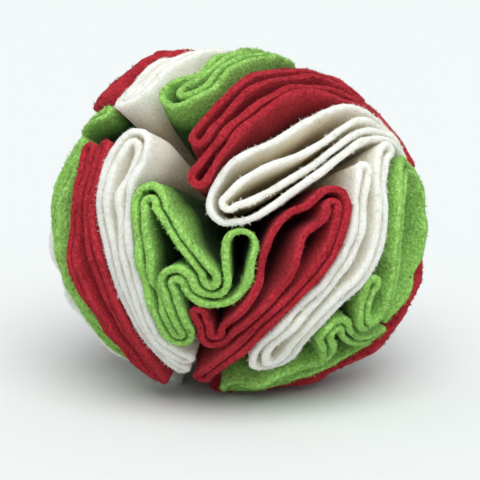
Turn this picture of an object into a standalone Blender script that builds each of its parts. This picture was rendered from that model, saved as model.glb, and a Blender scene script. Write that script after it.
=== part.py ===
# Snuffle ball for a dog: 28 round fleece discs, each folded flat on itself,
# then bent again and gathered by its middle into one ball.  The discs' cut
# edges make the outside of the ball, and their folds are where treats hide.
#
# A disc is worked out in two steps.  Its cut edge is a closed loop on a unit
# ball: the doubled sheet's course over the ball comes from a short table, and
# the loops are then settled until every layer lies one fleece thickness from
# the next.  The sheet itself is the cone of rays from that loop towards the
# middle of the ball, thinner where the gathering squeezes it.

import math

import bmesh
import bpy
import numpy as np

# Driving sizes, in metres
BALL_WIDTH = 0.150
BALL_HEIGHT = 0.1366        # before the foot is pressed flat
FOOT_CUT = 0.0028           # how much of that height the flat foot takes
FLEECE_THICKNESS = 0.0031   # at the fluffed cut edge
LAYER_CLEARANCE = 0.0008    # between one cut edge and the next
INNER_RADIUS = 0.028        # where the sheets' squeezed inner edges end
INNER_THICKNESS = 0.0010
FLOOR_THICKNESS = 0.0020    # the disc's middle, between its two layers

RADIUS = BALL_WIDTH / 2
FLATTENING = BALL_HEIGHT / BALL_WIDTH
PITCH = (FLEECE_THICKNESS + LAYER_CLEARANCE) / RADIUS   # angle from layer to layer
EDGE_POINTS = 180           # points along one disc's cut edge
COURSE_POINTS = 60          # points along one doubled sheet's middle line
ROW_STEPS = 16              # steps of the smooth line from one table row to the next
CAP_STEPS = 8               # steps round the fold at a doubled sheet's end
SHORTEST_COURSE = math.radians(120)
DOUBLED_CHORD = 0.0062      # over two steps of a doubled sheet's tightest bend
SINGLE_CHORD = 0.0043       # over two steps of a single layer's tightest bend
LONGEST_FACET = 7           # edge points that one facet may span
FACET_TOLERANCE = 0.0004

# How the loops are settled: a row for each pass.  hold is the pull back to
# the table's course, stiff the cloth's dislike of ripples.
COURSE_PASSES = [
    {"hold": 0.04, "stiff": 0.06, "rounds": 120},
    {"hold": 0.01, "stiff": 0.05, "rounds": 160},
]
EDGE_PASSES = [
    {"hold": 0.03, "stiff": 0.02, "rounds": 60},
    {"hold": 0.005, "stiff": 0.01, "rounds": 100},
    {"hold": 0.0, "stiff": 0.0, "rounds": 60},
]
OVERSTEP = 1.3              # how far past the mean correction each round goes
SEARCH_EVERY = 8            # rounds between two searches for neighbours
SEARCH_MARGIN = 0.05        # how much further than touching they are looked for
COURSE_NEIGHBOURS = 4       # points along a line that never push each other
EDGE_NEIGHBOURS = 3

COLOURS = {
    "green": (0.30, 0.62, 0.12),
    "red": (0.50, 0.02, 0.05),
    "white": (0.86, 0.85, 0.78),
}
ROUGHNESS = 0.95

# The course of each doubled sheet over the ball, a row for each section or
# fold.  Columns: turn is degrees from the front, positive to the right; lift
# is degrees above the equator; gap is the extra room in millimetres between
# the sheet's two layers; rise is how far the edge stands proud, in millimetres,
# with a minus where it lies lower.
COLUMNS = ("turn", "lift", "gap", "rise")

DISCS = {
    "green_front": [
        (-6, -7, 1, 0), (-14, 2, 0, 0), (-25, 16, 0, 0), (-33, 22, 1, 0),
        (-32, 12, 0, 0), (-28, -2, 0, 0), (-27, -22, 0, 0), (-24, -33, 0, 0),
        (-20, -22, 0, 0), (-22, -9, 0, 0), (-20, -3, 0, 0), (-13, -11, 0, 0),
        (-5, -13, 0, 0), (1, -8, 3, 0), (1, 6, 7, 0),
    ],
    "red_front": [
        (-19, -53, 0, 1), (-9, -41, 0, 0), (2, -29, 0, 0), (10, -20, 0, 0),
        (17, -12, 0, 0), (24, -5, 0, 0), (29, 2, 0, 0), (32, 9, 0, 0),
        (33, 16, 0, 0), (30, 21, 1, 0), (24, 16, 3, 0), (21, 12, 5, 0),
        (15, 11, 7, 0), (11, 5, 8, 0), (9, -1, 8, 0), (7, -8, 5, 0),
        (4, -15, 2, 0), (-1, -21, 1, 0), (-6, -27, 1, 0), (-11, -32, 1, 0),
        (-14, -26, 0, 0), (-12, -18, 0, 0),
    ],
    "white_left": [
        (-25, -47, 0, 0), (-33, -28, 0, 0), (-37, -9, 0, 0), (-44, 7, 0, 0),
        (-48, 14, 0, 0), (-48, 25, 0, 0), (-48, 35, 1, 0), (-44, 39, 1, 0),
        (-37, 36, 1, 0), (-36, 29, 0, 0), (-38, 19, 0, 0), (-36, 10, 0, 0),
        (-32, -8, 0, 0), (-30, -20, 0, 0), (-22, -41, 0, 0),
    ],
    "red_left": [
        (-61, 30, 1, 0), (-59, 14, 0, 0), (-60, 3, 0, 1), (-56, -11, 0, 1),
        (-52, -25, 0, 1), (-50, -40, 0, 1), (-50, -54, 1, 2), (-39, -51, 0, 2),
        (-39, -38, 0, 0), (-43, -20, 0, 0), (-47, -2, 0, 0), (-52, 11, 0, 0),
        (-54, 24, 0, 0), (-55, 32, 1, 0),
    ],
    "green_left": [
        (-70, 30, 0, 0), (-72, 19, 0, 0), (-73, 5, 0, 0), (-71, -10, 0, 0),
        (-67, -24, 0, 0), (-61, -38, 0, 0), (-56, -52, 0, 0), (-66, -56, 0, 0),
        (-71, -42, 0, 0), (-76, -26, 0, 0), (-80, -10, 0, 0), (-81, 5, 0, 0),
        (-80, 19, 0, 0), (-77, 31, 0, 0),
    ],
    "white_low_left": [
        (-87, 26, 0, 0), (-89, 12, 0, 0), (-89, -3, 0, 1), (-87, -18, 0, 2),
        (-83, -33, 0, 2), (-77, -47, 0, 2), (-64, -63, 0, 0), (-68, -71, 0, 0),
        (-92, -66, 0, 0), (-92, -52, 0, 0), (-95, -36, 0, 0), (-96, -20, 0, 0),
        (-96, -4, 0, 0), (-96, 12, 0, 0),
    ],
    "white_right": [
        (43, 25, 1, 0), (37, 15, 0, 0), (35, 4, 0, 0), (28, -8, 0, 0),
        (18, -16, 0, 0), (9, -29, 0, 0), (6, -38, 1, 0), (11, -43, 2, 0),
        (18, -41, 1, 0), (20, -28, 0, 0), (29, -17, 0, 0), (40, -8, 0, 0),
        (45, 3, 0, 0), (49, 20, 0, 0), (58, 33, 1, 0),
    ],
    "white_top": [
        (88, 33, 0, 0), (75, 38, 0, 0), (64, 43, 1, 0), (53, 46, 4, 0),
        (41, 44, 6, 0), (30, 40, 7, 0), (19, 36, 6, 0), (9, 33, 5, 0),
        (1, 30, 5, 0), (-5, 25, 3, 0), (-8, 17, 1, 0), (-4, 12, 2, 0),
        (1, 14, 3, 0), (8, 18, 2, 0), (15, 22, 1, 0), (23, 27, 0, 0),
        (34, 32, 0, 0), (47, 36, 0, 0), (62, 36, 0, 0), (73, 31, 0, 0),
        (82, 26, 0, 0),
    ],
    "red_top": [
        (-14, 38, 2, 0), (-11, 46, 1, 0), (2, 59, 1, 0), (35, 69, 3, -1),
        (68, 65, 3, -1), (86, 56, 1, 0), (90, 48, 0, 0), (82, 44, 0, 0),
        (70, 49, 1, 0), (56, 54, 1, 0), (30, 58, 0, 0), (7, 50, 0, 0),
        (-5, 38, 0, 0), (-12, 25, 2, 0),
    ],
    "green_top": [
        (148, 52, 0, 0), (143, 60, 0, 0), (131, 73, 0, 0), (80, 82, 0, 0),
        (0, 77, 0, 0), (-12, 69, 0, 0), (-21, 57, 0, 0), (-28, 52, 2, 0),
        (-37, 53, 3, 0), (-42, 59, 2, 0), (-30, 65, 0, 0), (-25, 73, 0, 0),
        (-20, 86, 0, 0), (158, 78, 0, 0), (156, 66, 0, 0), (156, 54, 0, 0),
        (158, 44, 0, 0),
    ],
    "white_top_left": [
        (172, 46, 0, 0), (170, 60, 0, 0), (168, 74, 0, 0), (-120, 83, 0, 1),
        (-69, 73, 0, 2), (-64, 62, 0, 2), (-57, 50, 0, 1), (-66, 47, 0, 0),
        (-76, 56, 0, 0), (-86, 67, 0, 1), (-110, 76, 0, 1), (-160, 75, 0, 0),
        (-173, 64, 0, 0), (-173, 52, 0, 0),
    ],
    "red_top_left": [
        (-164, 42, 0, 0), (-164, 54, 0, 2), (-150, 66, 0, 3), (-122, 70, 0, 5),
        (-104, 63, 0, 4), (-96, 53, 0, 3), (-92, 44, 0, 2), (-101, 45, 0, 1),
        (-109, 54, 0, 1), (-122, 61, 0, 1), (-142, 57, 0, 1), (-152, 48, 0, 0),
        (-154, 38, 0, 0),
    ],
    "green_up_left": [
        (-71, 44, 0, 0), (-76, 37, 0, 0), (-86, 34, 0, 0), (-96, 30, 0, 0),
        (-102, 20, 0, 0), (-104, 6, 0, 0), (-104, -8, 0, 0), (-102, -22, 0, 0),
        (-98, -36, 0, 0), (-104, -44, 0, 0), (-110, -34, 0, 0), (-110, -20, 0, 0),
        (-111, -6, 0, 0), (-111, 8, 0, 0), (-110, 22, 0, 0), (-106, 34, 0, 0),
        (-104, 42, 0, 0),
    ],
    "green_right": [
        (44, -12, 0, 0), (42, -18, 0, 0), (43, -26, 0, 0), (49, -30, 0, 0),
        (54, -24, 0, 0), (55, -12, 0, 0), (54, 0, 0, 0), (56, 12, 0, 0),
        (60, 20, 1, 0), (68, 25, 2, 0), (77, 20, 1, 0), (83, 10, 0, 0),
        (84, -2, 0, 0), (83, -14, 0, 0), (79, -25, 0, 0), (72, -33, 0, 0),
    ],
    "green_low": [
        (70, -40, 0, 0), (60, -38, 0, 0), (48, -36, 0, 0), (38, -29, 0, 0),
        (31, -24, 1, 0), (32, -32, 0, 0), (36, -40, 0, 0), (39, -47, 0, 0),
        (28, -48, 0, 0), (11, -55, 0, 0), (-2, -61, 0, 0), (-8, -66, 0, 0),
        (15, -62, 0, 0), (38, -56, 0, 0), (58, -48, 0, 0), (72, -48, 0, 0),
    ],
    "red_low": [
        (88, -8, 0, 1), (86, -20, 0, 3), (82, -32, 0, 4), (76, -44, 0, 4),
        (64, -55, 0, 3), (44, -64, 0, 2), (15, -71, 0, 0), (-25, -73, 0, 0),
        (-40, -80, 0, 0), (50, -80, 0, 0), (76, -68, 0, 0), (88, -56, 0, 1),
        (92, -43, 0, 1), (94, -29, 0, 1), (95, -15, 0, 0),
    ],
    "white_up_right": [
        (91, 20, 0, 0), (92, 8, 0, 0), (95, -3, 0, 0), (101, -14, 0, 0),
        (101, -28, 0, 0), (100, -42, 0, 0), (98, -56, 0, 0), (100, -68, 0, 0),
        (114, -62, 0, 0), (111, -48, 0, 0), (110, -34, 0, 0), (109, -20, 0, 0),
        (107, -6, 0, 0), (101, 6, 0, 0), (100, 16, 0, 0),
    ],
    "red_up_right": [
        (98, 22, 0, 1), (96, 31, 0, 1), (98, 40, 0, 0), (104, 45, 0, 0),
        (112, 43, 0, 0), (113, 35, 0, 0), (109, 26, 0, 0),
        (110, 14, 0, 0), (116, 0, 0, 0), (117, -14, 0, 0), (118, -28, 0, 0),
        (120, -42, 0, 0), (124, -52, 0, 0),
    ],
    "red_top_right": [
        (155, 40, 0, 0), (147, 41, 0, 0), (142, 47, 0, 0), (137, 55, 0, -1),
        (130, 63, 0, -3), (120, 69, 0, -4), (106, 69, 0, -4), (102, 63, 0, -3),
        (112, 62, 0, -2), (122, 60, 0, -1), (128, 53, 0, 0), (132, 45, 0, 0),
        (128, 41, 0, 0), (122, 45, 0, 0), (119, 51, 0, 0), (112, 56, 0, 0),
        (104, 56, 0, 0), (98, 52, 0, 0),
    ],
    "white_back_right": [
        (124, 34, 0, 0), (122, 24, 0, 0), (122, 12, 0, 0), (124, -2, 0, 0),
        (124, -16, 0, 0), (126, -30, 0, 0), (130, -46, 0, 0), (139, -50, 0, 0),
        (137, -34, 0, 0), (132, -16, 0, 0), (130, 0, 0, 0), (129, 12, 0, 0),
        (130, 24, 0, 0), (133, 35, 0, 0),
    ],
    "green_back_right": [
        (140, 34, 0, 0), (137, 20, 0, 0), (137, 4, 0, 0), (139, -8, 0, 0),
        (143, -14, 0, 0), (145, -4, 0, 0), (145, 10, 0, 0), (147, 24, 0, 0),
        (151, 32, 0, 0), (154, 22, 0, 0), (153, 8, 0, 0), (152, -8, 0, 0),
        (149, -24, 0, 0), (146, -38, 0, 0), (142, -50, 0, 0),
    ],
    "red_back_right": [
        (161, 40, 0, 0), (160, 24, 0, 0), (160, 8, 0, 0), (159, -8, 0, 0),
        (157, -22, 0, 0), (154, -36, 0, 0), (152, -50, 0, 0), (162, -54, 0, 0),
        (165, -42, 0, 0), (166, -28, 0, 0), (167, -12, 0, 0), (167, 4, 0, 0),
        (167, 20, 0, 0), (168, 36, 0, 0),
    ],
    "white_back": [
        (177, 40, 0, 0), (174, 26, 0, 0), (174, 8, 0, 0), (175, -8, 0, 0),
        (174, -24, 0, 0), (172, -40, 0, 0), (177, -52, 0, 0), (184, -46, 0, 0),
        (183, -30, 0, 0), (183, -14, 1, 0), (184, 0, 4, 0), (185, 14, 6, 0),
        (184, 28, 4, 0), (184, 40, 1, 0),
    ],
    "green_back": [
        (192, 38, 0, 0), (192, 24, 0, 0), (192, 8, 0, 0), (190, -8, 0, 0),
        (190, -24, 0, 0), (190, -40, 0, 0), (196, -52, 0, 0), (204, -44, 0, 0),
        (200, -26, 0, 0), (198, -10, 0, 0), (199, 6, 0, 0), (199, 22, 0, 0),
        (200, 36, 0, 0),
    ],
    "red_back_left": [
        (208, 36, 0, 0), (207, 26, 0, 0), (207, 10, 0, 0), (206, -6, 0, 0),
        (207, -22, 0, 0), (210, -36, 0, 0), (213, -50, 0, 0), (223, -50, 0, 0),
        (218, -36, 0, 0), (214, -20, 0, 0), (213, -4, 0, 0), (214, 10, 0, 0),
        (214, 24, 0, 0), (216, 38, 0, 0),
    ],
    "white_back_left": [
        (225, 46, 0, 0), (222, 34, 0, 0), (221, 22, 0, 0), (221, 6, 0, 0),
        (220, -8, 0, 0), (223, -22, 0, 0), (228, -36, 0, 0), (237, -42, 0, 0),
        (235, -30, 0, 0), (230, -14, 0, 0), (228, 0, 0, 0), (228, 14, 0, 0),
        (229, 28, 0, 0), (232, 40, 0, 0), (236, 50, 0, 0),
    ],
    "red_far_left": [
        (244, 50, 0, 0), (240, 40, 0, 0), (236, 26, 0, 0), (234, 12, 0, 0),
        (234, -4, 0, 0), (237, -18, 0, 0), (241, -32, 0, 0), (246, -48, 0, 0),
        (257, -52, 0, 0), (251, -38, 0, 0), (245, -26, 0, 0), (241, -12, 0, 0),
        (241, 2, 0, 0), (242, 16, 0, 0), (246, 30, 0, 0),
    ],
    "green_low_back": [
        (124, -57, 0, 0), (144, -62, 0, 0), (170, -60, 0, 0), (198, -59, 0, 0),
        (225, -57, 0, 0), (245, -61, 0, 0), (250, -69, 0, 0), (225, -66, 0, 0),
        (200, -68, 0, 0), (170, -69, 0, 0), (145, -71, 0, 0), (120, -73, 0, 0),
        (110, -81, 0, 0), (170, -80, 0, 0), (220, -78, 0, 0), (250, -80, 0, 0),
    ],
}


def direction(turn, lift):
    """Unit vectors from the ball's middle for turns and lifts in degrees."""
    turn, lift = np.radians(turn), np.radians(lift)
    return np.stack([
        np.sin(turn) * np.cos(lift),
        -np.cos(turn) * np.cos(lift),
        np.sin(lift),
    ], axis=-1)


def normalised(vectors):
    return vectors / np.linalg.norm(vectors, axis=-1, keepdims=True)


def spaced_evenly(points, values, count):
    """Points and values at equal steps along an open line."""
    steps = np.linalg.norm(np.diff(points, axis=0), axis=1)
    along = np.concatenate([[0], np.cumsum(steps)])
    wanted = np.linspace(0, along[-1], count)
    columns = np.hstack([points, values])
    return np.stack([np.interp(wanted, along, column) for column in columns.T], axis=1)


def course(rows):
    """A smooth line through a table's rows: directions, gaps and rises."""
    table = dict(zip(COLUMNS, np.array(rows, float).T))
    knots = direction(table["turn"], table["lift"])
    extras = np.stack([table["gap"], table["rise"]], axis=1) / 1000
    first, last = 2 * knots[0] - knots[1], 2 * knots[-1] - knots[-2]
    knots = np.vstack([first, knots, last])
    extras = np.vstack([extras[0], extras, extras[-1]])
    line, values = [], []
    for i in range(1, len(knots) - 2):
        for t in np.linspace(0, 1, ROW_STEPS, endpoint=False):
            weights = 0.5 * np.array([
                -t + 2 * t * t - t ** 3,
                2 - 5 * t * t + 3 * t ** 3,
                t + 4 * t * t - 3 * t ** 3,
                -t * t + t ** 3,
            ])
            line.append(weights @ knots[i - 1:i + 3])
            values.append((1 - t) * extras[i] + t * extras[i + 1])
    line.append(knots[-2])
    values.append(extras[-2])
    columns = spaced_evenly(normalised(np.array(line)), np.array(values), COURSE_POINTS)
    return normalised(columns[:, :3]), columns[:, 3], columns[:, 4]


def near_pairs(points, groups, places, closed, reach, apart):
    """Index pairs within reach, leaving out near neighbours on one line."""
    first, second = np.nonzero(np.triu(points @ points.T > math.cos(reach), 1))
    steps = np.abs(places[first] - places[second])
    if closed:
        steps = np.minimum(steps, EDGE_POINTS - steps)
    keep = (groups[first] != groups[second]) | (steps >= apart)
    return first[keep], second[keep]


def push_apart(points, first, second, least, moves, counts, longest=False):
    """Add the moves that bring pairs to at least (or exactly) a distance."""
    offset = points[second] - points[first]
    length = np.linalg.norm(offset, axis=1)
    short = np.ones(len(length), bool) if longest else length < least
    offset, length, target = offset[short], length[short], least[short]
    push = offset * (0.5 * (target - length) / np.maximum(length, 1e-9))[:, None]
    np.add.at(moves, second[short], push)
    np.add.at(moves, first[short], -push)
    np.add.at(counts, second[short], 1)
    np.add.at(counts, first[short], 1)


def settle(lines, step, halves, tight, closed, hold, stiff, rounds):
    """Move points on the unit ball until every line has room beside it.

    lines is (line, point, 3), step each line's point spacing, halves the
    half width that each point needs and tight its least chord over two steps.
    """
    count, length = lines.shape[:2]
    points = lines.reshape(-1, 3).copy()
    start = points.copy()
    groups = np.repeat(np.arange(count), length)
    places = np.tile(np.arange(length), count)
    index = np.arange(count * length).reshape(count, length)
    if closed:
        link = index, np.roll(index, -1, 1)
        skip = index, np.roll(index, -2, 1)
    else:
        link = index[:, :-1], index[:, 1:]
        skip = index[:, :-2], index[:, 2:]
    link = [part.ravel() for part in link]
    skip = [part.ravel() for part in skip]
    link_length = step[groups[link[0]]]
    skip_middle = (np.roll(index, -1, 1) if closed else index[:, 1:-1]).ravel()
    skip_least = tight[skip[0]]
    reach = 2 * halves.max() + SEARCH_MARGIN
    apart = EDGE_NEIGHBOURS if closed else COURSE_NEIGHBOURS
    for turn in range(rounds):
        if turn % SEARCH_EVERY == 0:
            pairs = near_pairs(points, groups, places, closed, reach, apart)
            pair_least = halves[pairs[0]] + halves[pairs[1]]
        moves = np.zeros_like(points)
        counts = np.zeros(len(points))
        push_apart(points, link[0], link[1], link_length, moves, counts, longest=True)
        push_apart(points, skip[0], skip[1], skip_least, moves, counts)
        push_apart(points, pairs[0], pairs[1], pair_least, moves, counts)
        points += OVERSTEP * moves / np.maximum(counts, 1)[:, None]
        points += hold * (start - points)
        middles = points[skip[0]] + points[skip[1]]
        points[skip_middle] += stiff * (0.5 * middles - points[skip_middle])
        points = normalised(points)
    return points.reshape(lines.shape)


def both_layers(line, half_gaps, rises):
    """The closed cut edge of a sheet doubled over its middle line."""
    ahead = np.gradient(line, axis=0)
    aside = normalised(np.cross(line, ahead))
    left = line + aside * half_gaps[:, None]
    right = line - aside * half_gaps[:, None]
    around = np.linspace(0, math.pi, CAP_STEPS + 1)[1:-1]
    caps = []
    for end, sense in ((0, -1), (-1, 1)):
        out = sense * normalised(ahead[end])
        radius = half_gaps[end]
        caps.append([
            line[end] + radius * (math.sin(a) * out + sense * math.cos(a) * aside[end])
            for a in around
        ])
    start_cap, end_cap = np.array(caps[0]), np.array(caps[1])
    # From the middle of the first cap, down one side and back up the other.
    half = len(around) // 2
    loop = np.vstack([start_cap[half:], left, end_cap, right[::-1], start_cap[:half + 1]])
    height = np.concatenate([
        np.full(len(around) - half, rises[0]), rises, np.full(len(around), rises[-1]),
        rises[::-1], np.full(half + 1, rises[0]),
    ])
    columns = spaced_evenly(loop, height[:, None], EDGE_POINTS + 1)[:-1]
    return normalised(columns[:, :3]), columns[:, 3]


def settled_edges():
    """Each disc's closed cut edge, and how far it stands proud."""
    courses = [course(rows) for rows in DISCS.values()]
    lines = np.array([line for line, gaps, rises in courses])
    gaps = np.array([gaps for line, gaps, rises in courses]) / RADIUS
    rises = np.array([rises for line, gaps, rises in courses])
    lengths = np.linalg.norm(np.diff(lines, axis=1), axis=2).sum(1)
    lengths = np.clip(lengths, SHORTEST_COURSE, math.pi * (1 - PITCH / 2))
    step = lengths / (COURSE_POINTS - 1)
    halves = PITCH + gaps.ravel() / 2
    tight = np.full(lines.size // 3, DOUBLED_CHORD / RADIUS)
    for settings in COURSE_PASSES:
        lines = settle(lines, step, halves, tight, False, **settings)

    loops, heights = [], []
    for line, gap, rise in zip(lines, gaps, rises):
        loop, height = both_layers(line, PITCH / 2 + gap / 2, rise)
        loops.append(loop)
        heights.append(height)
    loops = np.array(loops)
    step = np.linalg.norm(loops - np.roll(loops, 1, 1), axis=2).mean(1)
    halves = np.full(loops.size // 3, PITCH / 2)
    tight = np.full(loops.size // 3, SINGLE_CHORD / RADIUS)
    for settings in EDGE_PASSES:
        loops = settle(loops, step, halves, tight, True, **settings)
    return loops, np.array(heights)


def kept_points(loop):
    """The few points that carry a loop's shape, in pairs across the disc."""
    half = EDGE_POINTS // 2
    kept = [0]
    while kept[-1] < half:
        first = kept[-1]
        last = first + 1
        for reach in range(first + 2, min(first + LONGEST_FACET, half) + 1):
            inside = np.arange(first + 1, reach)
            worst = 0
            for side in (1, -1):
                start, end = loop[side * first], loop[(side * reach) % EDGE_POINTS]
                chord = normalised(end - start)
                away = loop[(side * inside) % EDGE_POINTS] - start
                off = away - (away @ chord)[:, None] * chord
                worst = max(worst, np.linalg.norm(off, axis=1).max())
            if worst * RADIUS > FACET_TOLERANCE:
                break
            last = reach
        kept.append(last)
    return kept + [EDGE_POINTS - i for i in reversed(kept[1:-1])]


def sheet_points(edge, aside, radius, thickness, side):
    """Points of one wall at a distance from the ball's middle."""
    rays = normalised(edge + side * aside * (thickness / 2 / np.mean(radius)))
    return rays * np.reshape(radius, (-1, 1)) * np.array([1, 1, FLATTENING])


def pressed_flat(points):
    """Shorten the rays that would reach below the flat foot."""
    floor = FOOT_CUT - BALL_HEIGHT / 2
    low = points[:, 2] < floor
    points[low] *= (floor / points[low, 2])[:, None]
    return points


def disc_mesh(name, loop, rise):
    """One folded disc: two walls, the cut edge between them, and its middle."""
    kept = kept_points(loop)
    edge, rise = loop[kept], rise[kept]
    ahead = normalised(np.roll(edge, -1, 0) - edge)
    ahead = ahead + np.roll(ahead, 1, 0)
    aside = normalised(np.cross(edge, ahead))
    rim = RADIUS + rise
    under = INNER_RADIUS - FLOOR_THICKNESS
    rings = [
        pressed_flat(sheet_points(edge, aside, rim, FLEECE_THICKNESS, 1)),
        pressed_flat(sheet_points(edge, aside, rim, FLEECE_THICKNESS, -1)),
        sheet_points(edge, aside, INNER_RADIUS, INNER_THICKNESS, -1),
        sheet_points(edge, aside, under, INNER_THICKNESS, 1),
    ]
    bm = bmesh.new()
    rings = [[bm.verts.new(point) for point in ring] for ring in rings]
    count = len(kept)
    for upper, lower in zip(rings, rings[1:] + rings[:1]):
        if upper is rings[2]:
            continue
        for i in range(count):
            after = (i + 1) % count
            bm.faces.new([upper[i], upper[after], lower[after], lower[i]])
    for ring in rings[2:]:
        for i in range(count // 2):
            corners = [ring[i], ring[i + 1], ring[(-i - 1) % count], ring[-i % count]]
            bm.faces.new(list(dict.fromkeys(corners)))
    bmesh.ops.triangulate(bm, faces=bm.faces[:])
    bmesh.ops.recalc_face_normals(bm, faces=bm.faces[:])
    mesh = bpy.data.meshes.new(name)
    bm.to_mesh(mesh)
    bm.free()
    return mesh


def fleece(colour):
    material = bpy.data.materials.new(colour + "_fleece")
    material.use_nodes = True
    shader = material.node_tree.nodes["Principled BSDF"]
    shader.inputs["Base Color"].default_value = (*COLOURS[colour], 1)
    shader.inputs["Roughness"].default_value = ROUGHNESS
    shader.inputs["Metallic"].default_value = 0
    return material


def main():
    for leftover in list(bpy.data.objects):
        bpy.data.objects.remove(leftover)

    middle = bpy.data.objects.new("ball_middle", None)
    bpy.context.scene.collection.objects.link(middle)
    corners = []
    loops, rises = settled_edges()
    for name, loop, rise in zip(DISCS, loops, rises):
        disc = bpy.data.objects.new(name, disc_mesh(name, loop, rise))
        disc.data.materials.append(fleece(name.split("_")[0]))
        disc.parent = middle
        bpy.context.scene.collection.objects.link(disc)
        corners += [vertex.co.copy() for vertex in disc.data.vertices]

    # The ball stands on z = 0, with its box centred over the origin.
    corners = np.array(corners)
    low, high = corners.min(0), corners.max(0)
    middle.location = (-(low[0] + high[0]) / 2, -(low[1] + high[1]) / 2, -low[2])


main()
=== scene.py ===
# Snuffle ball for a dog, dressed: every folded disc is one sheet of brushed fleece
# with a plump cut edge, its pile and its fluff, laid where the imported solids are.

import math

import bmesh
import bpy
import numpy as np
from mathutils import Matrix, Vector, noise


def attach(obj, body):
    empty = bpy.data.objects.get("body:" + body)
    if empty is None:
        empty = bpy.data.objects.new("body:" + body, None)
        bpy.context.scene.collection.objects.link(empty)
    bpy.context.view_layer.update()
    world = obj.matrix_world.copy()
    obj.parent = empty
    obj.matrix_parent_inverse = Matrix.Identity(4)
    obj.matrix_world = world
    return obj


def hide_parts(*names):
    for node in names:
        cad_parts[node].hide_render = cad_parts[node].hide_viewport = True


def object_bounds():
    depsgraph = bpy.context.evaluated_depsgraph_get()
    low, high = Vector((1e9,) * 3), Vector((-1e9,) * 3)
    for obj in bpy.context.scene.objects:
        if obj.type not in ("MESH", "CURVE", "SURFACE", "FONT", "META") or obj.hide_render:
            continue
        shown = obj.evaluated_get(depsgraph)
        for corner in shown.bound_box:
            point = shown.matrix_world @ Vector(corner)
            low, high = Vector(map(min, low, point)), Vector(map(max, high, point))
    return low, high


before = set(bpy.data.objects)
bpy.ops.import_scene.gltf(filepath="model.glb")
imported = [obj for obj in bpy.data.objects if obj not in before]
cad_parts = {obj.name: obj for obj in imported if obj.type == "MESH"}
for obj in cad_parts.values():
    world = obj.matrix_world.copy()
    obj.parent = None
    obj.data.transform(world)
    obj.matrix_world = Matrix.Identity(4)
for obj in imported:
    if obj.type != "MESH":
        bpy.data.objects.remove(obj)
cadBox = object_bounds()
print("frame loaded:", len(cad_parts), "folded discs")

# the ball's own sizes, in metres
ball = {
    "width": 0.150,
    "height": 0.1366,         # before the foot is pressed flat
    "footCut": 0.0028,        # how much of that height the flat foot takes
    "thickness": 0.0031,      # of the sheet at its cut edge
    "clearance": 0.0008,      # between one cut edge and the next
}
radius = ball["width"] / 2
flattening = ball["height"] / ball["width"]
pitch = (ball["thickness"] + ball["clearance"]) / radius
middle = np.array([
    (cadBox[0].x + cadBox[1].x) / 2,
    (cadBox[0].y + cadBox[1].y) / 2,
    ball["height"] / 2 - ball["footCut"],
])

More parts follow.
